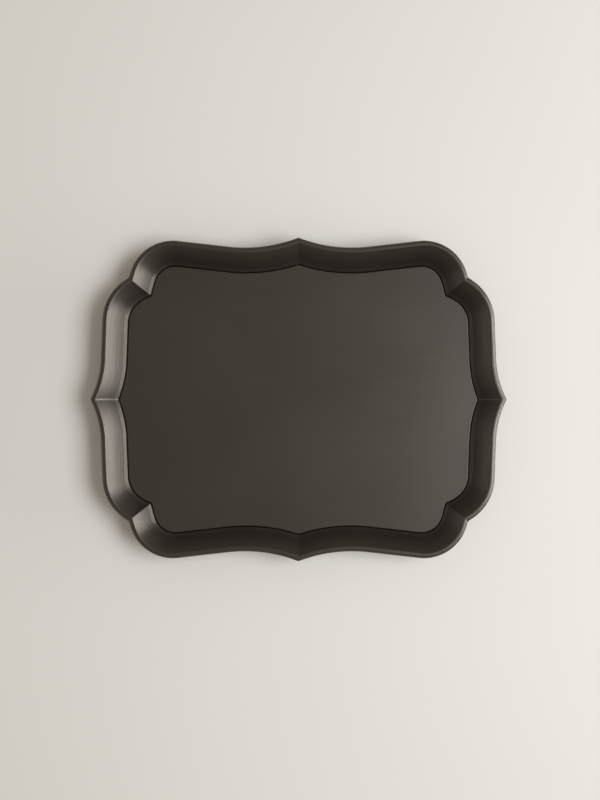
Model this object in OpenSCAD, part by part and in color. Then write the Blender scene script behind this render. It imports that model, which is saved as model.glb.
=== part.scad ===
// Scalloped serving tray: four shaped rails mitred at the corner notches,
// a loose-fitted floor panel resting on a rebate, hidden corner splines and felt pads.
// Units are millimetres. Z is up, X runs along the tray, Y across it.
// The origin is on the table, under the middle of the tray.

/* [Outline] */
// overall length, from the point of one short side to the point of the other
length = 450; // [375:1:540]
// overall width, from the point of one long side to the point of the other
width = 350; // [292:1:420]
// how far the corner notch lies in from the end of the tray
notch_inset_x = 41.8; // [36:0.1:48]
// how far the corner notch lies in from the side of the tray
notch_inset_y = 43.1; // [38:0.1:49]
// slope of the long side where it leaves its middle point, in degrees
long_point_angle = 21.2; // [18:0.1:24]
// slope of the short side where it leaves its middle point, in degrees
short_point_angle = 27.3; // [24:0.1:30]
// radius of the hollow curve beside a long side's point, as a share of the length
long_hollow_share = 0.356; // [0.3:0.001:0.4]
// radius of the hollow curve beside a short side's point, as a share of the width
short_hollow_share = 0.297; // [0.25:0.001:0.34]
// radius of the lobe at the end of a long side
long_lobe_radius = 48; // [40:0.5:54]
// radius of the lobe at the end of a short side
short_lobe_radius = 54; // [45:0.5:62]
// angle at which the long side runs into the corner notch, in degrees
long_notch_angle = 72.7; // [68:0.1:76]
// angle at which the short side runs into the corner notch, in degrees
short_notch_angle = 55.6; // [51:0.1:60]
// straight run from a lobe to the corner notch
notch_run = 6.3; // [3:0.1:9]

/* [Rail section] */
// height of the whole tray above the table
height = 32; // [28:0.5:38]
// radius of the rounded top of the rim
rim_radius = 3.6; // [3:0.1:4.5]
// how far the inner edge of the rim lies in from the outline
rim_inner = 3.8; // [3.7:0.1:5]
// depth of the steep little step below the rim's inner edge
rim_step_drop = 2.8; // [1.5:0.1:4]
// width of that step, seen from above
rim_step_width = 1.1; // [0.8:0.1:2]
// how far the foot of the sloping wall lies in from the outline
wall_foot = 24; // [20:0.5:28]
// height of the wall's foot above the floor
foot_lip = 0.9; // [0.5:0.1:1.5]
// how far the outer face lies in from the outline at the base
base_inset = 12.5; // [10:0.5:15]
// width of the ledge that carries the floor panel
ledge_width = 13; // [9:0.5:14]
// thickness of that ledge
ledge_thickness = 3; // [2.5:0.1:4]

/* [Floor panel] */
// thickness of the floor panel
panel_thickness = 4; // [3:0.1:5]
// gap all round between the floor panel and the wall's foot
panel_gap = 1; // [0.5:0.1:1.5]

/* [Corner splines] */
// length of a spline across the mitre
spline_length = 22; // [16:0.5:26]
// width of a spline
spline_width = 7; // [5:0.5:8]
// thickness of a spline
spline_thickness = 2; // [1.5:0.1:2.5]
// clearance round a spline in its slots
spline_clearance = 0.1; // [0.05:0.05:0.2]

/* [Pads] */
// diameter of a felt pad
pad_diameter = 14; // [10:0.5:16]
// thickness of a felt pad
pad_thickness = 1.5; // [1:0.1:3]

/* [Output] */
// which node to draw

/* [Hidden] */
$fn = 128;

// straight pieces of rail are a hair smaller than the curves and reach a little
// way into them, so that the pieces of a rail join as one solid
hair = 0.01;
bite = 0.4;

// heights above the table
base_z = pad_thickness;
ledge_z = base_z + ledge_thickness;
floor_z = ledge_z + panel_thickness;
foot_z = floor_z + foot_lip;
rim_z = height - rim_radius;

// the rail's section runs inward from the outline
ledge_end = wall_foot + ledge_width;
panel_edge = wall_foot + panel_gap;

// unit vector at an angle, and the one to its left
function along(a) = [cos(a), sin(a)];
function left_of(a) = [-sin(a), cos(a)];

// A side is a chain from its middle point to the notch, worked out as though
// the side were the back one: hollow arc, flank, lobe, short straight run.
// side = [point distance, notch, point angle, hollow radius, lobe radius,
//         notch angle, other side's notch angle]
long_side = [width / 2, [length / 2 - notch_inset_x, width / 2 - notch_inset_y],
    long_point_angle, long_hollow_share * length, long_lobe_radius,
    long_notch_angle, short_notch_angle];
short_side = [length / 2, [width / 2 - notch_inset_y, length / 2 - notch_inset_x],
    short_point_angle, short_hollow_share * width, short_lobe_radius,
    short_notch_angle, long_notch_angle];

function tip(s) = [0, s[0]];
function notch(s) = s[1];
function hollow_r(s) = s[3];
function lobe_r(s) = s[4];
function hollow_c(s) = tip(s) + hollow_r(s) * left_of(-s[2]);
function lobe_c(s) = notch(s) - notch_run * along(-s[5]) - lobe_r(s) * left_of(-s[5]);
function reach(s) = lobe_c(s) - hollow_c(s);
function flank_length(s) = sqrt(reach(s) * reach(s) - pow(hollow_r(s) + lobe_r(s), 2));
function flank_angle(s) = atan2(reach(s).y, reach(s).x)
    + atan2(hollow_r(s) + lobe_r(s), flank_length(s));
function mitre_angle(s) = 45 + (s[6] - s[5]) / 2;

// points of the chain at an offset inward from the outline
function flank_start(s, u) = hollow_c(s) - (hollow_r(s) + u) * left_of(flank_angle(s));
function flank_end(s, u) = lobe_c(s) + (lobe_r(s) - u) * left_of(flank_angle(s));
function run_start(s, u) = lobe_c(s) + (lobe_r(s) - u) * left_of(-s[5]);
function tip_at(s, u) = [0, hollow_c(s).y
    - sqrt(pow(hollow_r(s) + u, 2) - pow(hollow_c(s).x, 2))];
function notch_at(s, u) = notch(s) - u / sin(mitre_angle(s) + s[5]) * along(mitre_angle(s));

// c shrinks the section a little all round
module rail_section(c) {
    difference() {
        union() {
            translate([rim_radius, rim_z])
                circle(r = rim_radius - c);
            polygon([
                [base_inset + 2 * c, base_z + c],
                [0.72 * rim_radius + 2 * c, rim_z],
                [rim_radius, rim_z + 0.85 * rim_radius - c],
                [ledge_end - c, rim_z + 0.85 * rim_radius - c],
                [ledge_end - c, base_z + c]
            ]);
        }
        polygon([
            [rim_inner - 0.2 - c, height + 1],
            [rim_inner + rim_step_width - c, height - rim_step_drop - c],
            [wall_foot - c, foot_z - c],
            [wall_foot - c, ledge_z - c],
            [ledge_end + 5, ledge_z - c],
            [ledge_end + 5, height + 1]
        ]);
    }
}

// a straight piece of rail that runs along X, with the tray's inside towards -Y
module straight(distance) {
    translate([-bite, 0, 0])
        mirror([0, 1, 0])
            rotate([90, 0, 90])
                linear_extrude(height = distance + 2 * bite)
                    rail_section(hair);
}

// the hollow curve beside a side's middle point
module hollow_piece(s) {
    translate(hollow_c(s))
        rotate([0, 0, -90 - s[2]])
            rotate_extrude(angle = s[2] + flank_angle(s))
                translate([hollow_r(s), 0])
                    rail_section(0);
}

module flank_piece(s) {
    translate(flank_start(s, 0))
        rotate([0, 0, flank_angle(s)])
            straight(flank_length(s));
}

module lobe_piece(s) {
    translate(lobe_c(s))
        rotate([0, 0, 90 - s[5]])
            rotate_extrude(angle = flank_angle(s) + s[5])
                translate([lobe_r(s), 0])
                    mirror([1, 0])
                        rail_section(0);
}

// the short straight run, drawn past the mitre
module run_piece(s) {
    translate(run_start(s, 0))
        rotate([0, 0, -s[5]])
            straight(notch_run + ledge_end);
}

// the ground one half of a side covers: from its middle to the mitre
module half_ground(s) {
    m = mitre_angle(s);
    far = notch(s) + 100 * along(m);
    linear_extrude(height = height + 5)
        polygon([
            [0, notch(s).y - notch(s).x * tan(m)],
            [0, far.y + 50],
            [far.x, far.y + 50],
            far
        ]);
}

module half_rail(s) {
    intersection() {
        hollow_piece(s);
        half_ground(s);
    }
    flank_piece(s);
    lobe_piece(s);
    intersection() {
        run_piece(s);
        half_ground(s);
    }
}

module rail(s) {
    difference() {
        union() {
            half_rail(s);
            mirror([1, 0, 0])
                half_rail(s);
        }
        spline_block(s, spline_clearance);
        mirror([1, 0, 0])
            spline_block(s, spline_clearance);
    }
}

// inset of the rail's outer face at a height
function outer_inset(z) = base_inset
    + (0.72 * rim_radius - base_inset) * (z - base_z) / (rim_z - base_z);

// a spline lies flat across the mitre, with as much wood outside its middle as
// inside its two ends
module spline_block(s, c) {
    z = ledge_z + 1;
    u = (outer_inset(z) + wall_foot) / 2
        - spline_length / 4 * cos(180 - mitre_angle(s) - s[5]);
    translate(notch_at(s, u))
        rotate([0, 0, mitre_angle(s)])
            translate([-spline_width / 2 - c, -spline_length / 2 - c, z - c])
                cube([spline_width + 2 * c, spline_length + 2 * c, spline_thickness + 2 * c]);
}

module long_rail() {
    color("#2c2521")
        rail(long_side);
}

module short_rail() {
    color("#2a2420")
        mirror([1, -1, 0])
            rail(short_side);
}

module spline() {
    color("#b08a5a")
        spline_block(long_side, 0);
}

module pad() {
    color("#3b3b3b")
        translate(lobe_c(long_side) + (lobe_r(long_side) - (base_inset + ledge_end) / 2)
            * left_of(-15))
            cylinder(d = pad_diameter, h = pad_thickness);
}

// corners of the panel's outline over one quarter of the tray
function quarter(u) = [
    tip_at(long_side, u - 1),
    flank_start(long_side, u + hair),
    flank_end(long_side, u + hair),
    lobe_c(long_side),
    run_start(long_side, u + hair),
    notch_at(long_side, u + hair),
    turned(run_start(short_side, u + hair)),
    turned(lobe_c(short_side)),
    turned(flank_end(short_side, u + hair)),
    turned(flank_start(short_side, u + hair)),
    turned(tip_at(short_side, u - 1))
];
function turned(p) = [p.y, p.x];
function flipped_x(list) = [for (i = [len(list) - 1 : -1 : 0]) [-list[i].x, list[i].y]];
function flipped_y(list) = [for (i = [len(list) - 1 : -1 : 0]) [list[i].x, -list[i].y]];
function half_loop(list) = concat(flipped_x([for (i = [1 : len(list) - 1]) list[i]]), list);
function loop(list) = concat(half_loop(list),
    [for (p = flipped_y(half_loop(list))) if (abs(p.y) > 0.001) p]);

module on_four(p) {
    for (sx = [-1, 1])
        for (sy = [-1, 1])
            translate([sx * p.x, sy * p.y])
                children();
}

module floor_panel() {
    color("#262019")
        translate([0, 0, ledge_z])
            difference() {
                union() {
                    linear_extrude(height = panel_thickness)
                        polygon(loop(quarter(panel_edge)));
                    on_four(lobe_c(long_side))
                        cylinder(r = lobe_r(long_side) - panel_edge, h = panel_thickness);
                    on_four(turned(lobe_c(short_side)))
                        cylinder(r = lobe_r(short_side) - panel_edge, h = panel_thickness);
                }
                on_four(hollow_c(long_side))
                    hollow_cut(hollow_r(long_side) + panel_edge);
                on_four(turned(hollow_c(short_side)))
                    hollow_cut(hollow_r(short_side) + panel_edge);
            }
}

module hollow_cut(r) {
    translate([0, 0, -1])
        cylinder(r = r, h = panel_thickness + 2);
}

module long_rail_back() {
    long_rail();
}

module long_rail_front() {
    mirror([0, 1, 0])
        long_rail();
}

module short_rail_right() {
    short_rail();
}

module short_rail_left() {
    mirror([1, 0, 0])
        short_rail();
}

module spline_back_right() {
    spline();
}

module spline_back_left() {
    mirror([1, 0, 0])
        spline();
}

module spline_front_right() {
    mirror([0, 1, 0])
        spline();
}

module spline_front_left() {
    rotate([0, 0, 180])
        spline();
}

module pad_back_right() {
    pad();
}

module pad_back_left() {
    mirror([1, 0, 0])
        pad();
}

module pad_front_right() {
    mirror([0, 1, 0])
        pad();
}

module pad_front_left() {
    rotate([0, 0, 180])
        pad();
}

floor_panel();
long_rail_back();
long_rail_front();
short_rail_left();
short_rail_right();
spline_back_left();
spline_back_right();
spline_front_left();
spline_front_right();
pad_back_left();
pad_back_right();
pad_front_left();
pad_front_right();
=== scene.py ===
"""Scalloped serving tray in dark satin lacquer, on a pale table in soft side light."""

from __future__ import annotations

import logging
import math
from dataclasses import dataclass, field
from enum import Enum
from typing import Any, Callable, Sequence

import bpy
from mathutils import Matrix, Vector


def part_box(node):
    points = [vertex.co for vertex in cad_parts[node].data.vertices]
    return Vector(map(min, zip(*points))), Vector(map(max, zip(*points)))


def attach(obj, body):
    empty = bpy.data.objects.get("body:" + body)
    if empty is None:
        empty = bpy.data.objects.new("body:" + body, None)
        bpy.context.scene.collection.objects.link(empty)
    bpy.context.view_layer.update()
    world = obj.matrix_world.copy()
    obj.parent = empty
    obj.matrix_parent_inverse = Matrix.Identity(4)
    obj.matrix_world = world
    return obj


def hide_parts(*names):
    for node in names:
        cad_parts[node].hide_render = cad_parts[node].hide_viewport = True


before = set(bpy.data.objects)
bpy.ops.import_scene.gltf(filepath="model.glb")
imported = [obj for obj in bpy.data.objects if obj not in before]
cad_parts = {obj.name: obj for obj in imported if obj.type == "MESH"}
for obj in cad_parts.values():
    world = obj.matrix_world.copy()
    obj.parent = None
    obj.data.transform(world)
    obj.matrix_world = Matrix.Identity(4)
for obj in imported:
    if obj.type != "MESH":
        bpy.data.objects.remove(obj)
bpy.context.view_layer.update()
MM = 0.001

log = logging.getLogger("tray")
logging.basicConfig(level=logging.INFO, format="%(name)s: %(message)s")

Point2 = tuple[float, float]


# ---------------------------------------------------------------- small helpers


def linear(hex_code: str, alpha: float = 1.0) -> tuple[float, float, float, float]:
    """Turn an sRGB hex colour into the linear colour the shaders want.

    Args:
        hex_code: Six hex digits, with or without a leading hash.
        alpha: The fourth channel.

    Returns:
        Red, green, blue and alpha.
    """
    digits = hex_code.lstrip("#")
    out = []
    for k in (0, 2, 4):
        c = int(digits[k : k + 2], 16) / 255.0
        out.append(c / 12.92 if c <= 0.04045 else ((c + 0.055) / 1.055) ** 2.4)
    return out[0], out[1], out[2], alpha


def add_node(
    tree: bpy.types.NodeTree,
    kind: str,
    settings: dict[str, Any] | None = None,
    links: dict[Any, Any] | None = None,
) -> bpy.types.Node:
    """Add a node, set its properties and sockets, and link its inputs.

    Args:
        tree: The tree to add to.
        kind: Blender's name for the node's class.
        settings: Property names, or "in:KEY" for an input socket's own value.
        links: Input socket key to the output socket that feeds it.

    Returns:
        The new node.
    """
    node = tree.nodes.new(kind)
    for key, value in (settings or {}).items():
        if key.startswith("in:"):
            name = key[3:]
            node.inputs[int(name) if name.isdigit() else name].default_value = value
        else:
            setattr(node, key, value)
    for key, source in (links or {}).items():
        tree.links.new(source, node.inputs[key])
    return node


def unit(angle: float) -> Vector:
    """The unit vector at an angle in degrees."""
    return Vector((math.cos(math.radians(angle)), math.sin(math.radians(angle))))


def left_of(angle: float) -> Vector:
    """The unit vector to the left of a heading in degrees."""
    return Vector((-math.sin(math.radians(angle)), math.cos(math.radians(angle))))


def new_object(
    name: str, verts: Sequence[Any], edges: Sequence[Any], faces: Sequence[Any]
) -> bpy.types.Object:
    """Make a mesh object at the origin and link it to the scene.

    Args:
        name: The object's and mesh's name.
        verts: Vertex places in metres.
        edges: Edges, where there are no faces.
        faces: Faces as index lists.

    Returns:
        The linked object.
    """
    mesh = bpy.data.meshes.new(name)
    mesh.from_pydata([tuple(v) for v in verts], edges, faces)
    mesh.update()
    obj = bpy.data.objects.new(name, mesh)
    bpy.context.scene.collection.objects.link(obj)
    return obj


def shade(mesh: bpy.types.Mesh, sharp_angle: float) -> None:
    """Smooth a mesh's shading but keep hard edges hard.

    Args:
        mesh: The mesh to shade.
        sharp_angle: Edges over this many degrees stay sharp.
    """
    mesh.shade_smooth()
    mesh.set_sharp_from_angle(angle=math.radians(sharp_angle))


def freeze(obj: bpy.types.Object, name: str) -> bpy.types.Object:
    """Replace an object that carries a node modifier by its plain result.

    Args:
        obj: The object with the modifier.
        name: The name of the finished piece.

    Returns:
        A new object at the origin with no modifiers.
    """
    bpy.context.view_layer.update()
    graph = bpy.context.evaluated_depsgraph_get()
    mesh = bpy.data.meshes.new_from_object(obj.evaluated_get(graph), depsgraph=graph)
    mesh.name = name
    obj.modifiers.clear()
    bpy.data.objects.remove(obj)
    piece = bpy.data.objects.new(name, mesh)
    bpy.context.scene.collection.objects.link(piece)
    return piece


def set_inputs(modifier: bpy.types.Modifier, values: dict[str, Any]) -> None:
    """Set a node modifier's inputs by their sockets' identifiers.

    Args:
        modifier: The Geometry Nodes modifier.
        values: Socket name to value.
    """
    for item in modifier.node_group.interface.items_tree:
        if item.item_type == "SOCKET" and item.in_out == "INPUT" and item.name in values:
            modifier[item.identifier] = values[item.name]


# ---------------------------------------------------------------- finishes


def blank_material(name: str) -> tuple[bpy.types.Material, bpy.types.NodeTree]:
    """Start a material on an empty node tree.

    Args:
        name: The finish's name.

    Returns:
        The material and its tree.
    """
    mat = bpy.data.materials.new(name)
    mat.use_nodes = True
    mat.node_tree.nodes.clear()
    return mat, mat.node_tree


def patterned_material(
    name: str,
    tints: tuple[str, str],
    pattern_mm: Sequence[float],
    noise: dict[str, Any],
    surface: dict[str, Any],
    relief: Point2 | None = None,
) -> bpy.types.Material:
    """Build a dull material whose tint, and relief where it has one, follow one noise.

    Args:
        name: The finish's name.
        tints: The two hex tints that the noise mixes.
        pattern_mm: The noise's size along each axis.
        noise: Settings of the noise.
        surface: Settings of the surface.
        relief: Strength of the bumps, and their depth in millimetres.

    Returns:
        The material.
    """
    mat, tree = blank_material(name)
    coords = add_node(tree, "ShaderNodeTexCoord")
    scale = tuple(1.0 / (size * MM) for size in pattern_mm)
    place = add_node(tree, "ShaderNodeMapping", {"in:Scale": scale}, {"Vector": coords.outputs["Object"]})
    pattern = add_node(tree, "ShaderNodeTexNoise", {"in:Scale": 1.0, **noise}, {"Vector": place.outputs[0]})
    height = pattern.outputs["Fac"]
    ends = {"data_type": "RGBA", "in:6": linear(tints[0]), "in:7": linear(tints[1])}
    feeds = {"Base Color": add_node(tree, "ShaderNodeMix", ends, {0: height}).outputs[2]}
    if relief:
        bump = {"in:Strength": relief[0], "in:Distance": relief[1] * MM}
        feeds["Normal"] = add_node(tree, "ShaderNodeBump", bump, {"Height": height}).outputs["Normal"]
    shader = add_node(tree, "ShaderNodeBsdfPrincipled", surface, feeds)
    add_node(tree, "ShaderNodeOutputMaterial", {}, {"Surface": shader.outputs[0]})
    return mat


class Grain(Enum):
    """Which way a lacquered face was rubbed down."""

    ALONG_RAIL = "along the rail"
    ALONG_X = "along the tray"


@dataclass(frozen=True)
class SatinLacquer:
    """Brown-black lacquer, sprayed over wood and rubbed to a satin.

    The thin dark film leaves no grain to see: the eye gets a soft, wide highlight,
    a warm near-black in the shade and faint rubbing marks where the light grazes.
    Real rubbing marks are too fine to show, so the rails' are drawn wider and deeper.
    """

    name: str
    rubbed: Grain
    tint: str = "#15110e"
    tint_worn: str = "#1c1713"
    gloss_tint: str = "#fff7ef"
    gloss_level: float = 0.95
    roughness: float = 0.36
    roughness_spread: float = 0.05
    cloud_mm: float = 1000.0 / 9.0
    cloud_range: Point2 = (0.35, 0.7)
    worn_share: float = 0.8
    streak_width_mm: float = 2.0
    streak_length_mm: float = 45.0
    streak_depth_mm: float = 0.14
    peel_mm: float = 2.4
    peel_depth_mm: float = 0.004

    def material(self) -> bpy.types.Material:
        """Build the node material.

        Returns:
            The material.
        """
        mat, tree = blank_material(self.name)
        place = self._place(tree)
        # rubbing marks: long thin noise, a streak wide and many streaks long
        streak = add_node(
            tree,
            "ShaderNodeTexNoise",
            {"in:Scale": 1.0, "in:Detail": 3.0, "in:Roughness": 0.6},
            {"Vector": place},
        )
        coords = add_node(tree, "ShaderNodeTexCoord")
        peel = add_node(
            tree,
            "ShaderNodeTexNoise",
            {"in:Scale": 1.0 / (self.peel_mm * MM), "in:Detail": 2.0},
            {"Vector": coords.outputs["Object"]},
        )
        cloud = add_node(
            tree,
            "ShaderNodeTexNoise",
            {"in:Scale": 1.0 / (self.cloud_mm * MM), "in:Detail": 2.0, "in:Roughness": 0.45},
            {"Vector": coords.outputs["Object"]},
        )
        colour = add_node(
            tree,
            "ShaderNodeMix",
            {"data_type": "RGBA", "in:6": linear(self.tint), "in:7": linear(self.tint_worn)},
            {0: self._ramp(tree, cloud.outputs["Fac"], self.cloud_range, (0.0, self.worn_share))},
        )
        middle, swing = (0.3, 0.7), (-0.5, 0.5)
        rough_cloud = self._ramp(tree, cloud.outputs["Fac"], middle, swing)
        rough_streak = self._ramp(tree, streak.outputs["Fac"], middle, swing)
        both = add_node(tree, "ShaderNodeMath", {"operation": "ADD"}, {0: rough_cloud, 1: rough_streak})
        rough = add_node(
            tree,
            "ShaderNodeMath",
            {"operation": "MULTIPLY_ADD", "in:1": self.roughness_spread, "in:2": self.roughness},
            {0: both.outputs[0]},
        )
        fine = add_node(
            tree,
            "ShaderNodeBump",
            {"in:Strength": 1.0, "in:Distance": self.peel_depth_mm * MM},
            {"Height": peel.outputs["Fac"]},
        )
        marks = add_node(
            tree,
            "ShaderNodeBump",
            {"in:Strength": 1.0, "in:Distance": self.streak_depth_mm * MM},
            {"Height": streak.outputs["Fac"], "Normal": fine.outputs["Normal"]},
        )
        shader = add_node(
            tree,
            "ShaderNodeBsdfPrincipled",
            {
                "in:IOR": 1.52,
                "in:Specular IOR Level": self.gloss_level,
                "in:Specular Tint": linear(self.gloss_tint),
            },
            {
                "Base Color": colour.outputs[2],
                "Roughness": rough.outputs[0],
                "Normal": marks.outputs["Normal"],
            },
        )
        add_node(tree, "ShaderNodeOutputMaterial", {}, {"Surface": shader.outputs[0]})
        return mat

    def _place(self, tree: bpy.types.NodeTree) -> bpy.types.NodeSocket:
        """Where a point lies along and across the rubbing, scaled to the streaks.

        Args:
            tree: The material's node tree.

        Returns:
            A vector output.
        """
        long = 1.0 / (self.streak_length_mm * MM)
        thin = 1.0 / (self.streak_width_mm * MM)
        if self.rubbed is Grain.ALONG_RAIL:
            along = add_node(tree, "ShaderNodeAttribute", {"attribute_name": "along"})
            across = add_node(tree, "ShaderNodeAttribute", {"attribute_name": "across"})
            joined = add_node(
                tree, "ShaderNodeCombineXYZ", {}, {"X": along.outputs["Fac"], "Y": across.outputs["Fac"]}
            )
            source = joined.outputs[0]
        else:
            source = add_node(tree, "ShaderNodeTexCoord").outputs["Object"]
        scaled = add_node(
            tree,
            "ShaderNodeMapping",
            {"in:Scale": (long, thin, thin if self.rubbed is Grain.ALONG_X else 1.0)},
            {"Vector": source},
        )
        return scaled.outputs[0]

    @staticmethod
    def _ramp(
        tree: bpy.types.NodeTree, source: bpy.types.NodeSocket, old: Point2, new: Point2
    ) -> bpy.types.NodeSocket:
        """Stretch a value from one range to another.

        Args:
            tree: The tree to add to.
            source: The value.
            old: Ends of its range.
            new: What those ends become.

        Returns:
            The stretched value.
        """
        ends = {"in:1": old[0], "in:2": old[1], "in:3": new[0], "in:4": new[1]}
        return add_node(tree, "ShaderNodeMapRange", ends, {0: source}).outputs[0]


@dataclass(frozen=True)
class PlanedBirch:
    """Bare planed birch: pale and dry, with fine straight grain along the tray."""

    name: str = "planed_birch"
    tint: str = "#c9a679"
    tint_dark: str = "#a57f52"
    grain_mm: float = 1.4
    grain_length_mm: float = 1000.0 / 60.0
    relief: Point2 = (0.6, 0.05)

    def material(self) -> bpy.types.Material:
        """Build the node material.

        Returns:
            The material.
        """
        return patterned_material(
            self.name,
            (self.tint, self.tint_dark),
            (self.grain_length_mm, self.grain_mm, self.grain_mm),
            {"in:Detail": 4.0},
            {"in:IOR": 1.5, "in:Roughness": 0.65},
            self.relief,
        )


@dataclass(frozen=True)
class PressedFelt:
    """Pressed wool felt: no gloss, a fuzzy pale rim of light, mottled fibres."""

    name: str = "pressed_felt"
    tint: str = "#24221f"
    tint_light: str = "#3a3733"
    fibre_mm: float = 0.5
    relief: Point2 = (0.8, 0.15)

    def material(self) -> bpy.types.Material:
        """Build the node material.

        Returns:
            The material.
        """
        return patterned_material(
            self.name,
            (self.tint, self.tint_light),
            [self.fibre_mm] * 3,
            {"in:Detail": 5.0, "in:Roughness": 0.7},
            {"in:IOR": 1.45, "in:Roughness": 0.95, "in:Sheen Weight": 0.35, "in:Sheen Roughness": 0.5},
            self.relief,
        )


@dataclass(frozen=True)
class TableTop:
    """Matt off-white laminate: faintly warm and all but even, with wide, barely darker patches."""

    name: str = "matt_laminate"
    tint: str = "#dbdad8"
    tint_dark: str = "#d7d6d4"
    cloud_mm: float = 1000.0 / 3.0

    def material(self) -> bpy.types.Material:
        """Build the node material.

        Returns:
            The material.
        """
        return patterned_material(
            self.name,
            (self.tint, self.tint_dark),
            [self.cloud_mm] * 3,
            {"in:Detail": 2.0},
            {"in:IOR": 1.45, "in:Roughness": 0.7},
        )


# ---------------------------------------------------------------- the outline


@dataclass(frozen=True)
class ScallopSide:
    """Half of one side of the tray, from its middle point to the corner notch.

    It is laid out as if the side were the back one: a hollow arc, a straight flank,
    a lobe and a short straight run into the notch, each tangent to the next.
    All sizes are in millimetres and degrees.
    """

    point_y: float
    notch: Point2
    point_angle: float
    hollow_radius: float
    lobe_radius: float
    notch_angle: float
    other_notch_angle: float
    notch_run: float = 6.3
    reach: float = 37.0
    point_round: float = 3.0
    notch_round: float = 17.0
    lean_angle: float = -90.0
    lean_slope: float = 0.2
    lean_bend: float = 0.0045
    point_steps: int = 4
    hollow_steps: int = 44
    hollow_crowding: float = 1.15
    flank_steps: int = 16
    lobe_steps: int = 56
    run_steps: int = 14

    @property
    def hollow_centre(self) -> Vector:
        """Centre of the hollow arc, outside the tray."""
        return Vector((0.0, self.point_y)) + self.hollow_radius * left_of(-self.point_angle)

    @property
    def lobe_centre(self) -> Vector:
        """Centre of the lobe, inside the tray."""
        start = Vector(self.notch) - self.notch_run * unit(-self.notch_angle)
        return start - self.lobe_radius * left_of(-self.notch_angle)

    @property
    def flank_angle(self) -> float:
        """Heading of the straight flank, the two arcs' common tangent.

        Returns:
            The heading in degrees.
        """
        span = self.lobe_centre - self.hollow_centre
        both = self.hollow_radius + self.lobe_radius
        run = math.sqrt(span.length_squared - both * both)
        return math.degrees(math.atan2(span.y, span.x) + math.atan2(both, run))

    @property
    def mitre_angle(self) -> float:
        """Direction of the mitre line, out through the notch."""
        return 45.0 + (self.other_notch_angle - self.notch_angle) / 2.0

    def mitre_point(self, u: float) -> Vector:
        """The point on the mitre at an inset of u."""
        half = math.radians(self.mitre_angle + self.notch_angle)
        return Vector(self.notch) - u / math.sin(half) * unit(self.mitre_angle)

    def on_hollow(self, heading: float, u: float) -> Vector:
        """The point of the hollow arc's inset where the path has a heading."""
        return self.hollow_centre - (self.hollow_radius + u) * left_of(heading)

    def on_lobe(self, heading: float, u: float) -> Vector:
        """The point of the lobe's inset where the path has a heading."""
        return self.lobe_centre + (self.lobe_radius - u) * left_of(heading)

    def first_heading(self, u: float) -> float:
        """Heading where the rounded middle point hands over to the hollow arc."""
        big = self.hollow_radius + u
        return -math.degrees(math.asin(self.hollow_centre.x / (big + self.point_round)))

    def stations(self) -> list[Callable[[float], Vector]]:
        """Rules that place each station of the path for any inset.

        Returns:
            One function of the inset per station, from the middle to the mitre.
        """
        # the path begins at the middle point; the hollow's stations crowd towards it
        rules: list[Callable[[float], Vector]] = [lambda u: self._at_point(0.0, u)]
        for at, steps, crowding in (
            (self._at_point, self.point_steps, 1.0),
            (self._at_hollow, self.hollow_steps, self.hollow_crowding),
            (self._at_flank, self.flank_steps, 1.0),
            (self._at_lobe, self.lobe_steps, 1.0),
            (self._at_run, self.run_steps, 1.0),
        ):
            for k in range(1, steps + 1):
                rules.append(lambda u, t=(k / steps) ** crowding, at=at: at(t, u))
        return rules

    def _at_point(self, t: float, u: float) -> Vector:
        """A point of the rounding at the middle point.

        Args:
            t: How far along the rounding, from 0 to 1.
            u: The inset.

        Returns:
            The point.
        """
        centre = self.hollow_centre
        big = self.hollow_radius + u + self.point_round
        pivot = Vector((0.0, centre.y - math.sqrt(big * big - centre.x**2)))
        turn = self.first_heading(u) * t
        return pivot + self.point_round * left_of(turn)

    def _at_hollow(self, t: float, u: float) -> Vector:
        """A point of the hollow arc, t from 0 to 1."""
        first = self.first_heading(u)
        return self.on_hollow(first + (self.flank_angle - first) * t, u)

    def _at_flank(self, t: float, u: float) -> Vector:
        """A point of the flank, t from 0 to 1."""
        a = self.on_hollow(self.flank_angle, u)
        return a.lerp(self.on_lobe(self.flank_angle, u), t)

    def _at_lobe(self, t: float, u: float) -> Vector:
        """A point of the lobe, t from 0 to 1."""
        heading = self.flank_angle + (-self.notch_angle - self.flank_angle) * t
        return self.on_lobe(heading, u)

    def _at_run(self, t: float, u: float) -> Vector:
        """A point of the last run, t from 0 to 1, which bends towards the long middle line."""
        straight = self.on_lobe(-self.notch_angle, u).lerp(self.mitre_point(u), t)
        return straight + t * t * self.lean_in(u) * unit(self.lean_angle)

    def lean_in(self, u: float) -> float:
        """How far the mitred end is drawn towards the long middle line at an inset of u."""
        return u * (self.lean_slope - self.lean_bend * u)

    def softening(self, t: float) -> Vector:
        """How far the rounded outer notch stands off the sharp one.

        Args:
            t: How far along the last run, from 0 to 1.

        Returns:
            The step from the sharp outline to the rounded one.
        """
        half = math.radians(self.mitre_angle + self.notch_angle)
        corner = self.mitre_point(0.0)
        length = (corner - self.on_lobe(-self.notch_angle, 0.0)).length
        back = self.notch_round / math.tan(half)
        place = t * length - (length - back)
        if place <= 0.0:
            return Vector((0.0, 0.0))
        turn = (90.0 - math.degrees(half)) * (place / back)
        pivot = corner + self.notch_round / math.sin(half) * unit(self.mitre_angle)
        rounded = pivot - self.notch_round * left_of(-self.notch_angle + turn)
        return rounded - self._at_run(t, 0.0)

    def quadratic(self, rule: Callable[[float], Vector]) -> tuple[Vector, Vector, Vector]:
        """Fit a station's places over the section's reach by a parabola.

        Args:
            rule: The station's rule.

        Returns:
            Its place at no inset, its slope and its bend.
        """
        near, middle, far = rule(0.0), rule(self.reach / 2), rule(self.reach)
        bend = (far - 2 * middle + near) * (2.0 / self.reach**2)
        slope = (far - near) / self.reach - bend * self.reach
        return near, slope, bend


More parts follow.
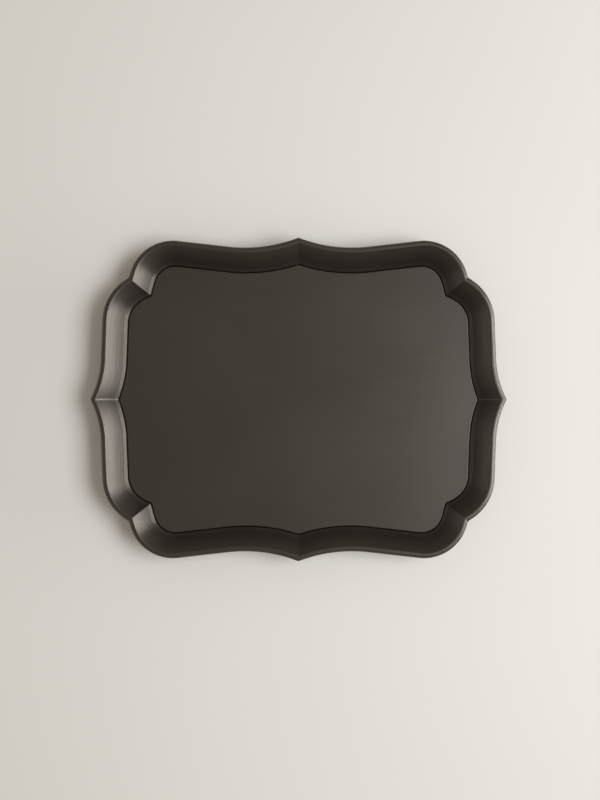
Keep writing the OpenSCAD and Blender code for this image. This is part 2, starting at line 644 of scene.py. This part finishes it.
@dataclass
class RailSection:
    """Cross-section of a rail: inset from the outline against height, in millimetres."""

    height: float = 32.0
    base_z: float = 1.5
    ledge_z: float = 4.5
    rim_radius: float = 3.8
    crest_inset: float = 3.79
    rim_start_angle: float = 232.0
    rim_steps: int = 22
    base_inset: float = 12.5
    wall_foot: float = 24.0
    ledge_end: float = 37.0
    under_rim: tuple[float, float, float] = (3.0, 24.1, 0.4)
    wall: Sequence[tuple[float, float, float]] = (
        (5.6, 32.0, 3.6),
        (8.5, 28.8, 40.0),
        (11.5, 25.3, 60.0),
        (14.5, 21.55, 60.0),
        (17.5, 17.5, 60.0),
        (20.5, 13.2, 0.2),
        (20.75, 12.4, 0.1),
        (21.6, 11.4, 0.15),
        (22.55, 10.1, 0.1),
        (23.5, 9.0, 0.15),
        (24.2, 7.9, 0.25),
    )
    corner_steps: int = 6
    # how near a rounding a guard point stands, on faces over what length, and the steps between
    guard: float = 0.2
    guard_from: float = 1.2
    face_step: float = 2.2
    # how the notch's outer rounding fades inwards; fade_top is an inset and a height over the base
    ledge_band: float = 3.2
    ledge_fade: float = 6.0
    fade_top: Point2 = (2.6, 26.9)
    rim_from_z: float = 24.8
    rim_fade: float = 3.95
    fade_power: float = 1.5

    def corners(self) -> list[tuple[float, float, float]]:
        """Lay out the section's corners from the ledge's underside out, up and back in.

        Returns:
            Each corner's inset, height and rounding.
        """
        middle = self.height - math.sqrt(self.rim_radius**2 - (self.rim_radius - self.crest_inset) ** 2)
        top = math.degrees(math.acos((self.crest_inset - self.rim_radius) / self.rim_radius))
        rim = []
        for k in range(self.rim_steps + 1):
            a = math.radians(self.rim_start_angle + (top - self.rim_start_angle) * k / self.rim_steps)
            x = self.rim_radius + self.rim_radius * math.cos(a)
            rim.append((x, middle + self.rim_radius * math.sin(a), 0.0))
        return [
            (self.ledge_end, self.base_z, 0.5),
            (self.base_inset, self.base_z, 1.2),
            self.under_rim,
            *rim,
            *self.wall,
            (self.wall_foot + 0.15, self.ledge_z, 0.2),
            (self.ledge_end, self.ledge_z, 0.4),
        ]

    def points(self) -> list[Point2]:
        """Round the section's corners.

        Returns:
            The section as a closed run of points.
        """
        corners = self.corners()
        count = len(corners)
        out: list[Vector] = []
        for i, (x, z, r) in enumerate(corners):
            here = Vector((x, z))
            before = Vector(corners[i - 1][:2])
            after = Vector(corners[(i + 1) % count][:2])
            if r <= 0.0:
                out.append(here)
                continue
            into, onward = (before - here).normalized(), (after - here).normalized()
            half = into.angle(onward) / 2
            shorter = min((before - here).length, (after - here).length)
            # a rounding takes less than half of the shorter face beside it
            back = min(r / math.tan(half), 0.45 * shorter)
            radius = back * math.tan(half)
            middle = here + (into + onward).normalized() * (radius / math.sin(half))
            start, stop = here + into * back - middle, here + onward * back - middle
            total = start.angle(stop)
            for k in range(self.corner_steps + 1):
                t = k / self.corner_steps
                w0 = math.sin((1 - t) * total) / math.sin(total)
                w1 = math.sin(t * total) / math.sin(total)
                out.append(middle + start * w0 + stop * w1)
        return self._with_guards(out)

    def _with_guards(self, loop: list[Vector]) -> list[Point2]:
        """Add points beside each rounding, so that flat faces stay flat in the light.

        Args:
            loop: The closed run of points.

        Returns:
            The run with guard points and with long stretches divided.
        """
        out: list[Point2] = []
        for i, a in enumerate(loop):
            b = loop[(i + 1) % len(loop)]
            length = (b - a).length
            if length < 1e-6:
                continue
            out.append((a.x, a.y))
            if length > self.guard_from:
                free = length - 2 * self.guard
                inner = max(1, round(free / self.face_step))
                for k in range(inner + 1):
                    s = (self.guard + free * k / inner) / length
                    p = a.lerp(b, s)
                    out.append((p.x, p.y))
        return out

    def outer_share(self, u: float, z: float) -> float:
        """How much of the notch's outer rounding a point takes.

        The sloping line it fades from lies just inside the outer face, so that the
        whole face takes all of it. The ledge and the rim fade from lines of their own.

        Args:
            u: The point's inset.
            z: Its height.

        Returns:
            1 at the outer face, falling to 0 inside.
        """
        if z < self.base_z + self.ledge_band:
            return 1.0 - min(1.0, max(0.0, (u - self.base_inset) / self.ledge_fade))
        slope = (self.fade_top[0] - self.base_inset) / self.fade_top[1]
        face = 0.0 if z > self.rim_from_z else self.base_inset + (z - self.base_z) * slope
        return 1.0 - min(1.0, max(0.0, (u - face) / self.rim_fade)) ** self.fade_power


# ---------------------------------------------------------------- node tools


def open_tool(name: str, inputs: dict[str, str]) -> tuple[bpy.types.NodeTree, bpy.types.Node]:
    """Start a Geometry Nodes tree that takes geometry and a finish, and gives geometry.

    Args:
        name: The tree's name.
        inputs: Each input's name and kind, besides those two.

    Returns:
        The tree and its input node.
    """
    tree = bpy.data.node_groups.new(name, "GeometryNodeTree")
    for label, kind in {"Geometry": "Geometry", **inputs, "Finish": "Material"}.items():
        tree.interface.new_socket(label, in_out="INPUT", socket_type=f"NodeSocket{kind}")
    tree.interface.new_socket("Geometry", in_out="OUTPUT", socket_type="NodeSocketGeometry")
    return tree, add_node(tree, "NodeGroupInput")


def close_tool(
    tree: bpy.types.NodeTree, given: bpy.types.Node, geometry: bpy.types.NodeSocket
) -> bpy.types.NodeTree:
    """End a tree: make its instances real and put on the finish it was given.

    Args:
        tree: The tree.
        given: Its input node.
        geometry: What it has made.

    Returns:
        The tree.
    """
    real = add_node(tree, "GeometryNodeRealizeInstances", {}, {"Geometry": geometry})
    finish = given.outputs["Finish"]
    dressed = add_node(tree, "GeometryNodeSetMaterial", {}, {"Geometry": real.outputs[0], "Material": finish})
    add_node(tree, "NodeGroupOutput", {}, {0: dressed.outputs[0]})
    return tree


def rail_tree() -> bpy.types.NodeTree:
    """Build the node tool that sweeps a rail's section along its path.

    The path brings, at each station, how a point's place depends on its inset.

    Returns:
        The Geometry Nodes tree.
    """
    numbers = dict.fromkeys(("Notch rounding", "Waver", "Waver length", "Seed"), "Float")
    tree, given = open_tool("sweep_rail", {"Section": "Object", **numbers})

    path = add_node(tree, "GeometryNodeMeshToCurve", {}, {"Mesh": given.outputs["Geometry"]})
    held = add_node(tree, "GeometryNodeObjectInfo", {}, {"Object": given.outputs["Section"]})
    section = add_node(tree, "GeometryNodeMeshToCurve", {}, {"Mesh": held.outputs["Geometry"]})
    skin = add_node(
        tree,
        "GeometryNodeCurveToMesh",
        {"in:Fill Caps": True},
        {"Curve": path.outputs[0], "Profile Curve": section.outputs[0]},
    )
    size = add_node(
        tree, "GeometryNodeAttributeDomainSize", {"component": "CURVE"}, {"Geometry": section.outputs[0]}
    )
    index = add_node(tree, "GeometryNodeInputIndex")
    # the skin's points run round the section at one station after another
    station, corner = (
        add_node(
            tree,
            "FunctionNodeIntegerMath",
            {"operation": operation},
            {0: index.outputs[0], 1: size.outputs["Point Count"]},
        )
        for operation in ("DIVIDE_FLOOR", "MODULO")
    )

    def read(curve: bpy.types.Node, which: bpy.types.Node, name: str, kind: str) -> bpy.types.NodeSocket:
        """Read one point of a curve.

        Args:
            curve: The node that gives the curve.
            which: The node that gives the point's number.
            name: The attribute's name, or "position".
            kind: Its data type.

        Returns:
            The value at that point.
        """
        if name == "position":
            source = add_node(tree, "GeometryNodeInputPosition").outputs[0]
        else:
            source = add_node(
                tree, "GeometryNodeInputNamedAttribute", {"data_type": kind, "in:Name": name}
            ).outputs[0]
        picked = add_node(
            tree,
            "GeometryNodeSampleIndex",
            {"data_type": kind, "domain": "POINT"},
            {"Geometry": curve.outputs[0], "Value": source, "Index": which.outputs[0]},
        )
        return picked.outputs[0]

    along = read(path, station, "along", "FLOAT")
    across = read(section, corner, "across", "FLOAT")
    tuck = read(path, station, "tuck", "FLOAT")
    free = read(path, station, "free", "FLOAT")
    place, inward, bend, soften = (
        read(path, station, name, "FLOAT_VECTOR") for name in ("position", "inward", "bend", "soften")
    )
    spot, facing = (
        add_node(tree, "ShaderNodeSeparateXYZ", {}, {0: read(section, corner, name, "FLOAT_VECTOR")})
        for name in ("position", "facing")
    )
    inset, share, lift = spot.outputs

    # the slight unevenness of a hand-finished rail
    reel = add_node(tree, "ShaderNodeCombineXYZ", {}, {"X": along, "Y": across, "Z": given.outputs["Seed"]})
    pace = add_node(
        tree, "ShaderNodeMath", {"operation": "DIVIDE", "in:0": 1.0}, {1: given.outputs["Waver length"]}
    )
    noise = add_node(
        tree, "ShaderNodeTexNoise", {"in:Detail": 1.0}, {"Vector": reel.outputs[0], "Scale": pace.outputs[0]}
    )
    centring = {"operation": "SUBTRACT", "in:1": (0.5, 0.5, 0.5)}
    waver = add_node(tree, "ShaderNodeVectorMath", centring, {0: noise.outputs["Color"]})

    # the last station's tuck draws it in a hair along the section's own normals, as an arris
    squared, rounding, tuck_in, tuck_up, swing = (
        add_node(tree, "ShaderNodeMath", {"operation": "MULTIPLY"}, {0: one, 1: other}).outputs[0]
        for one, other in (
            (inset, inset),
            (share, given.outputs["Notch rounding"]),
            (facing.outputs[0], tuck),
            (facing.outputs[2], tuck),
            (given.outputs["Waver"], free),
        )
    )
    inset_by, bent_by, softened_by, tucked_by, wavers_by = (
        add_node(tree, "ShaderNodeVectorMath", {"operation": "SCALE"}, {0: vector, "Scale": factor})
        for vector, factor in (
            (inward, inset),
            (bend, squared),
            (soften, rounding),
            (inward, tuck_in),
            (waver.outputs[0], swing),
        )
    )
    rise, tuck_rise = (add_node(tree, "ShaderNodeCombineXYZ", {}, {"Z": value}) for value in (lift, tuck_up))
    for step in (inset_by, bent_by, softened_by, rise, tucked_by, tuck_rise, wavers_by):
        added = {0: place, 1: step.outputs[0]}
        place = add_node(tree, "ShaderNodeVectorMath", {"operation": "ADD"}, added).outputs[0]

    moved = add_node(tree, "GeometryNodeSetPosition", {}, {"Geometry": skin.outputs[0], "Position": place})
    tagged = moved
    for name, value in (("along", along), ("across", across)):
        tagged = add_node(
            tree,
            "GeometryNodeStoreNamedAttribute",
            {"data_type": "FLOAT", "domain": "POINT", "in:Name": name},
            {"Geometry": tagged.outputs[0], "Value": value},
        )
    return close_tool(tree, given, tagged.outputs[0])


def pad_tree(fuzz_length_mm: float) -> bpy.types.NodeTree:
    """Build the node tool that lays a soft-edged pad at each given point.

    Args:
        fuzz_length_mm: How long the edge's unevenness is.

    Returns:
        The Geometry Nodes tree.
    """
    tree, given = open_tool("lay_pads", dict.fromkeys(("Radius", "Thickness", "Fuzz"), "Float"))
    disc = add_node(
        tree,
        "GeometryNodeMeshCylinder",
        {"in:Vertices": 72, "in:Side Segments": 6, "in:Fill Segments": 10},
        {"Radius": given.outputs["Radius"], "Depth": given.outputs["Thickness"]},
    )
    position = add_node(tree, "GeometryNodeInputPosition").outputs[0]
    height = add_node(tree, "ShaderNodeSeparateXYZ", {}, {0: position}).outputs[2]
    # the edge draws in a little above and below, as punched felt does
    share = {0: height, 1: given.outputs["Thickness"]}
    level = add_node(tree, "ShaderNodeMath", {"operation": "DIVIDE"}, share)
    steep = add_node(tree, "ShaderNodeMath", {"operation": "POWER", "in:1": 4.0}, {0: level.outputs[0]})
    draw_in = {"operation": "MULTIPLY_ADD", "in:1": -0.9, "in:2": 1.0}
    drawn = add_node(tree, "ShaderNodeMath", draw_in, {0: steep.outputs[0]}).outputs[0]
    shrink = add_node(tree, "ShaderNodeCombineXYZ", {"in:Z": 1.0}, {"X": drawn, "Y": drawn})
    pulled = add_node(
        tree, "ShaderNodeVectorMath", {"operation": "MULTIPLY"}, {0: position, 1: shrink.outputs[0]}
    )
    noise = add_node(tree, "ShaderNodeTexNoise", {"in:Scale": 1.0 / (fuzz_length_mm * MM), "in:Detail": 2.0})
    fuzz = noise.outputs["Color"]
    for operation, values in (("SUBTRACT", (0.75, 0.75, 0.5)), ("MULTIPLY", (1.0, 1.0, 0.0))):
        setting = {"operation": operation, "in:1": values}
        fuzz = add_node(tree, "ShaderNodeVectorMath", setting, {0: fuzz}).outputs[0]
    stands = add_node(
        tree, "ShaderNodeVectorMath", {"operation": "SCALE"}, {0: fuzz, "Scale": given.outputs["Fuzz"]}
    )
    whole = add_node(
        tree, "ShaderNodeVectorMath", {"operation": "ADD"}, {0: pulled.outputs[0], 1: stands.outputs[0]}
    )
    shaped = add_node(
        tree, "GeometryNodeSetPosition", {}, {"Geometry": disc.outputs["Mesh"], "Position": whole.outputs[0]}
    )
    laid = add_node(
        tree,
        "GeometryNodeInstanceOnPoints",
        {},
        {"Points": given.outputs["Geometry"], "Instance": shaped.outputs[0]},
    )
    return close_tool(tree, given, laid.outputs[0])


# ---------------------------------------------------------------- the tray


@dataclass
class Outline:
    """The tray's whole outline, from its length, width and notch depths in millimetres."""

    length: float = 450.0
    width: float = 350.0
    notch_inset_x: float = 41.8
    notch_inset_y: float = 43.1
    long_notch_angle: float = 72.7
    short_notch_angle: float = 55.6

    def long_side(self) -> ScallopSide:
        """Half of the back side."""
        return ScallopSide(
            point_y=self.width / 2,
            notch=(self.length / 2 - self.notch_inset_x, self.width / 2 - self.notch_inset_y),
            point_angle=21.2,
            hollow_radius=0.356 * self.length,
            lobe_radius=48.0,
            notch_angle=self.long_notch_angle,
            other_notch_angle=self.short_notch_angle,
        )

    def short_side(self) -> ScallopSide:
        """Half of an end, laid out as if it were the back side."""
        return ScallopSide(
            point_y=self.length / 2,
            notch=(self.width / 2 - self.notch_inset_y, self.length / 2 - self.notch_inset_x),
            point_angle=27.3,
            hollow_radius=0.297 * self.width,
            lobe_radius=54.0,
            notch_angle=self.short_notch_angle,
            other_notch_angle=self.long_notch_angle,
            lean_angle=180.0,
        )

    def quarter(self, u: float) -> list[Vector]:
        """Lay out one quarter of the outline, from the back's middle to the right end's.

        Args:
            u: The inset.

        Returns:
            Its points.
        """
        back = [rule(u) for rule in self.long_side().stations()]
        end = [rule(u).yx for rule in self.short_side().stations()]
        return back[:-1] + end[::-1]

    def loop(self, u: float) -> list[Vector]:
        """Lay out the whole outline, anticlockwise from the right end's middle.

        Args:
            u: The inset.

        Returns:
            Its points.
        """
        first = self.quarter(u)[::-1]
        second = [Vector((-p.x, p.y)) for p in self.quarter(u)]
        upper = first + second[1:]
        lower = [Vector((-p.x, -p.y)) for p in upper]
        return upper[:-1] + lower[:-1]


class End(Enum):
    """Which side of the tray a rail makes."""

    BACK = "back"
    FRONT = "front"
    LEFT = "left"
    RIGHT = "right"


@dataclass
class Rails:
    """The four mitred rails."""

    outline: Outline
    section: RailSection = field(default_factory=RailSection)
    waver_mm: float = 0.10
    waver_length_mm: float = 60.0
    arris_mm: float = 0.12
    steady_mm: float = 25.0
    seed_step: float = 0.37
    sharp_angle: float = 38.0

    NODES = {
        End.BACK: "long_rail_back",
        End.FRONT: "long_rail_front",
        End.LEFT: "short_rail_left",
        End.RIGHT: "short_rail_right",
    }

    def build(self, finish: bpy.types.Material) -> list[bpy.types.Object]:
        """Sweep the four rails and put them on the frame.

        Args:
            finish: The lacquer.

        Returns:
            The finished pieces.
        """
        tree = rail_tree()
        section = self._section_object()
        pieces = []
        for number, (end, node) in enumerate(self.NODES.items()):
            path = self._path_object(end)
            modifier = path.modifiers.new("sweep", "NODES")
            modifier.node_group = tree
            set_inputs(
                modifier,
                {
                    "Section": section,
                    "Notch rounding": 1.0,
                    "Waver": self.waver_mm * MM,
                    "Waver length": self.waver_length_mm * MM,
                    "Seed": self.seed_step * number,
                    "Finish": finish,
                },
            )
            piece = freeze(path, f"{node}_lacquered")
            self._face_outwards(piece.data)
            shade(piece.data, self.sharp_angle)
            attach(piece, "root")
            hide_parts(node)
            pieces.append(piece)
            log.info("%s: %d faces", piece.name, len(piece.data.polygons))
        bpy.data.objects.remove(section)
        return pieces

    @staticmethod
    def _face_outwards(mesh: bpy.types.Mesh) -> None:
        """Turn a closed mesh right side out if its volume comes out negative.

        Args:
            mesh: The mesh.
        """
        volume = 0.0
        for face in mesh.polygons:
            first = mesh.vertices[face.vertices[0]].co
            for a, b in zip(face.vertices[1:-1], face.vertices[2:]):
                volume += first.dot(mesh.vertices[a].co.cross(mesh.vertices[b].co))
        if volume < 0:
            mesh.flip_normals()

    def _section_object(self) -> bpy.types.Object:
        """Lay the section out with the attributes that the sweep reads.

        Returns:
            A closed loop of edges.
        """
        points = self.section.points()
        count = len(points)
        verts = [(u * MM, self.section.outer_share(u, z), z * MM) for u, z in points]
        obj = new_object("rail_section", verts, [(i, (i + 1) % count) for i in range(count)], [])
        across, facing, travelled = [], [], 0.0
        for i, here in enumerate(points):
            before, after = Vector(points[i - 1]), Vector(points[(i + 1) % count])
            across.append(travelled * MM)
            travelled += (after - Vector(here)).length
            heading = (after - before).normalized()
            facing += [-heading.y, 0.0, heading.x]
        obj.data.attributes.new("across", "FLOAT", "POINT").data.foreach_set("value", across)
        obj.data.attributes.new("facing", "FLOAT_VECTOR", "POINT").data.foreach_set("vector", facing)
        return obj

    def _path_object(self, end: End) -> bpy.types.Object:
        """The rail's path from mitre to mitre, with what each station does to an inset.

        Args:
            end: Which side of the tray.

        Returns:
            An open run of edges with attributes.
        """
        side = self.outline.long_side() if end in (End.BACK, End.FRONT) else self.outline.short_side()
        rules = side.stations()
        fits = [side.quadratic(rule) for rule in rules]
        rounds = [side.softening(k / side.run_steps) for k in range(1, side.run_steps + 1)]
        softs = [Vector((0.0, 0.0))] * (len(rules) - len(rounds)) + rounds
        travelled = [0.0]
        for a, b in zip(fits, fits[1:]):
            travelled.append(travelled[-1] + (b[0] - a[0]).length)
        rows = [(*fit, soft, along, 0.0) for fit, soft, along in zip(fits, softs, travelled)]
        # the mitre draws in by the arris, and a station just short of it carries the full section
        last = (*rows.pop()[:5], self.arris_mm)
        before = rows[-1]
        share = 1.0 - self.arris_mm / (last[0] - before[0]).length
        short = [a.lerp(b, share) for a, b in zip(before[:4], last[:4])]
        rows += [(*short, before[4] + (last[4] - before[4]) * share, 0.0), last]
        both = [self._mirrored(row) for row in rows[:0:-1]] + rows
        turned = [self._turned(row, end) for row in both]
        verts = [(row[0].x * MM, row[0].y * MM, 0.0) for row in turned]
        obj = new_object("rail_path", verts, [(i, i + 1) for i in range(len(verts) - 1)], [])
        mesh = obj.data
        for name, column, scale in (("inward", 1, 1.0), ("bend", 2, 1.0 / MM), ("soften", 3, MM)):
            flat: list[float] = []
            for row in turned:
                flat += [row[column].x * scale, row[column].y * scale, 0.0]
            mesh.attributes.new(name, "FLOAT_VECTOR", "POINT").data.foreach_set("vector", flat)
        # the waver dies out towards the mitres, so that the rails still meet
        free = [min(1.0, (travelled[-1] - abs(row[4])) / self.steady_mm) for row in turned]
        along, tuck = ([row[column] * MM for row in turned] for column in (4, 5))
        for name, values in (("along", along), ("tuck", tuck), ("free", free)):
            mesh.attributes.new(name, "FLOAT", "POINT").data.foreach_set("value", values)
        return obj

    @staticmethod
    def _mirrored(row: tuple) -> tuple:
        """A station's values on the other half of the rail."""
        flip = [Vector((-v.x, v.y)) for v in row[:4]]
        return (*flip, -row[4], row[5])

    @staticmethod
    def _turned(row: tuple, end: End) -> tuple:
        """Turn a station's values to its own side of the tray.

        Args:
            row: Four vectors, the distance travelled and the tuck.
            end: Which side.

        Returns:
            The turned values.
        """
        turns: dict[End, Callable[[Vector], Vector]] = {
            End.BACK: lambda v: v.copy(),
            End.FRONT: lambda v: Vector((-v.x, -v.y)),
            End.RIGHT: lambda v: Vector((v.y, -v.x)),
            End.LEFT: lambda v: Vector((-v.y, v.x)),
        }
        return (*[turns[end](v) for v in row[:4]], row[4], row[5])


@dataclass
class FloorBoard:
    """The flat panel, dropped in from above with a shadow gap round it."""

    outline: Outline
    inset: float = 24.8
    under_z: float = 4.5
    top_z: float = 8.5
    edge_round: float = 0.9
    edge_steps: int = 8
    under_bevel: float = 0.3
    guards: tuple[float, float, float] = (0.2, 0.3, 6.0)
    sharp_angle: float = 50.0

    def build(self, finish: bpy.types.Material) -> bpy.types.Object:
        """Make the board and put it on the frame.

        Args:
            finish: The lacquer.

        Returns:
            The finished piece.
        """
        rings = [
            (self.inset + 2 * self.under_bevel, self.under_z),
            (self.inset + self.under_bevel, self.under_z),
            (self.inset, self.under_z + self.under_bevel),
            (self.inset, self.top_z - self.edge_round - self.guards[0]),
        ]
        for k in range(self.edge_steps + 1):
            a = math.radians(90.0 * k / self.edge_steps)
            u = self.inset + self.edge_round * (1 - math.cos(a))
            rings.append((u, self.top_z - self.edge_round * (1 - math.sin(a))))
        # two more rings beside the rounding keep the flat top flat in the light
        rings += [(self.inset + self.edge_round + guard, self.top_z) for guard in self.guards[1:]]
        verts: list[tuple[float, float, float]] = []
        for u, z in rings:
            verts += [(p.x * MM, p.y * MM, z * MM) for p in self.outline.loop(u)]
        count = len(verts) // len(rings)
        faces: list[list[int]] = []
        for r in range(len(rings) - 1):
            for k in range(count):
                n = (k + 1) % count
                faces.append([r * count + k, r * count + n, (r + 1) * count + n, (r + 1) * count + k])
        faces.append(list(range(count))[::-1])
        top = (len(rings) - 1) * count
        faces.append(list(range(top, top + count)))
        piece = new_object("floor_board", verts, [], faces)
        shade(piece.data, self.sharp_angle)
        piece.data.materials.append(finish)
        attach(piece, "root")
        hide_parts("floor_panel")
        log.info("%s: %d faces", piece.name, len(piece.data.polygons))
        return piece


@dataclass
class Underside:
    """What the tray stands on and what is hidden in its corners."""

    pads: Sequence[str] = ("pad_back_left", "pad_back_right", "pad_front_left", "pad_front_right")
    splines: Sequence[str] = (
        "spline_back_left",
        "spline_back_right",
        "spline_front_left",
        "spline_front_right",
    )
    fuzz_mm: float = 0.12
    fuzz_length_mm: float = 0.4
    sharp_angle: float = 60.0

    def build_pads(self, finish: bpy.types.Material) -> bpy.types.Object:
        """Lay the four felt pads where the frame has them.

        Args:
            finish: The felt.

        Returns:
            One piece that holds the four pads.
        """
        centres = []
        for name in self.pads:
            low, high = (Vector(c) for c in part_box(name))
            centres.append((low + high) / 2)
            size = high - low
        spots = new_object("pad_spots", centres, [], [])
        modifier = spots.modifiers.new("lay", "NODES")
        modifier.node_group = pad_tree(self.fuzz_length_mm)
        set_inputs(
            modifier,
            {"Radius": size.x / 2, "Thickness": size.z, "Fuzz": self.fuzz_mm * MM, "Finish": finish},
        )
        piece = freeze(spots, "felt_pads")
        shade(piece.data, self.sharp_angle)
        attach(piece, "root")
        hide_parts(*self.pads)
        log.info("%s: %d faces", piece.name, len(piece.data.polygons))
        return piece

    def dress_splines(self, finish: bpy.types.Material) -> None:
        """Give the hidden corner splines their bare wood.

        Args:
            finish: The wood.
        """
        for name in self.splines:
            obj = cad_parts[name]
            obj.data.materials.clear()
            obj.data.materials.append(finish)
            log.info("%s: dressed", name)


# ---------------------------------------------------------------- table, light, camera


@dataclass(frozen=True)
class SoftBox:
    """One rectangular soft light that faces the tray, in metres, degrees and watts."""

    name: str
    turn: float
    lift: float
    distance: float
    size: Point2
    power: float
    spread: float = 180.0
    aim: Point2 = (0.0, 0.0)
    tint: str = "#fffcf6"

    def build(self) -> None:
        """Hang the light."""
        turn, lift = math.radians(self.turn), math.radians(self.lift)
        out = math.cos(lift)
        place = self.distance * Vector((out * math.cos(turn), out * math.sin(turn), math.sin(lift)))
        lamp = bpy.data.lights.new(self.name, "AREA")
        lamp.shape = "RECTANGLE"
        lamp.size, lamp.size_y = self.size
        lamp.energy = self.power
        lamp.spread = math.radians(self.spread)
        lamp.color = linear(self.tint)[:3]
        obj = bpy.data.objects.new(self.name, lamp)
        obj.location = place
        obj.rotation_euler = (Vector((*self.aim, 0.0)) - place).to_track_quat("-Z", "Y").to_euler()
        bpy.context.scene.collection.objects.link(obj)


@dataclass
class Studio:
    """A plain pale table, soft lights and an overhead camera."""

    table_size: float = 12.0
    lights: Sequence[SoftBox] = (
        SoftBox("key_softbox", -3.0, 49.0, 2.7, (1.9, 1.4), 21.6, 100.0, (0.12, 0.0), "#fdfeff"),
        SoftBox("low_strip", 0.0, 8.0, 3.0, (2.6, 0.75), 54.0),
        SoftBox("low_fill", 180.0, 6.0, 3.0, (1.6, 0.7), 3.0),
    )
    room_strength: float = 0.4
    room_tint: str = "#fff2e0"
    camera_height: float = 1.02
    camera_aim: Point2 = (0.0017, -0.0006)
    lens: float = 41.3
    sensor_width: float = 36.0
    clip_end: float = 30.0

    def build(self) -> None:
        """Add the table, the lights and the camera."""
        half = self.table_size / 2
        table = new_object(
            "table_top",
            [(-half, -half, 0.0), (half, -half, 0.0), (half, half, 0.0), (-half, half, 0.0)],
            [],
            [(0, 1, 2, 3)],
        )
        table.data.materials.append(TableTop().material())
        for light in self.lights:
            light.build()
        self._room()
        self._camera()

    def _room(self) -> None:
        """Faint even light from all round."""
        world = bpy.data.worlds.new("room_light")
        world.use_nodes = True
        back = world.node_tree.nodes["Background"]
        back.inputs["Color"].default_value = linear(self.room_tint)
        back.inputs["Strength"].default_value = self.room_strength
        bpy.context.scene.world = world

    def _camera(self) -> None:
        """The camera, straight above, with the tray upright in a portrait frame."""
        cam = bpy.data.cameras.new("overhead")
        cam.lens = self.lens
        cam.sensor_width = self.sensor_width
        cam.clip_end = self.clip_end
        obj = bpy.data.objects.new("overhead", cam)
        obj.location = (*self.camera_aim, self.camera_height)
        bpy.context.scene.collection.objects.link(obj)
        bpy.context.scene.camera = obj
        bpy.context.scene.view_settings.view_transform = "Standard"


# ---------------------------------------------------------------- main


def main() -> None:
    """Build the tray, then the table, lights and camera."""
    outline = Outline()
    rail_finish = SatinLacquer("satin_lacquer_on_beech", Grain.ALONG_RAIL).material()
    board_finish = SatinLacquer(
        "satin_lacquer_on_board",
        Grain.ALONG_X,
        streak_width_mm=1.6,
        streak_length_mm=120.0,
        streak_depth_mm=0.003,
        roughness_spread=0.03,
    ).material()
    Rails(outline).build(rail_finish)
    FloorBoard(outline).build(board_finish)
    under = Underside()
    under.build_pads(PressedFelt().material())
    under.dress_splines(PlanedBirch().material())
    Studio().build()
    bpy.context.view_layer.update()


if __name__ == "__main__":
    main()
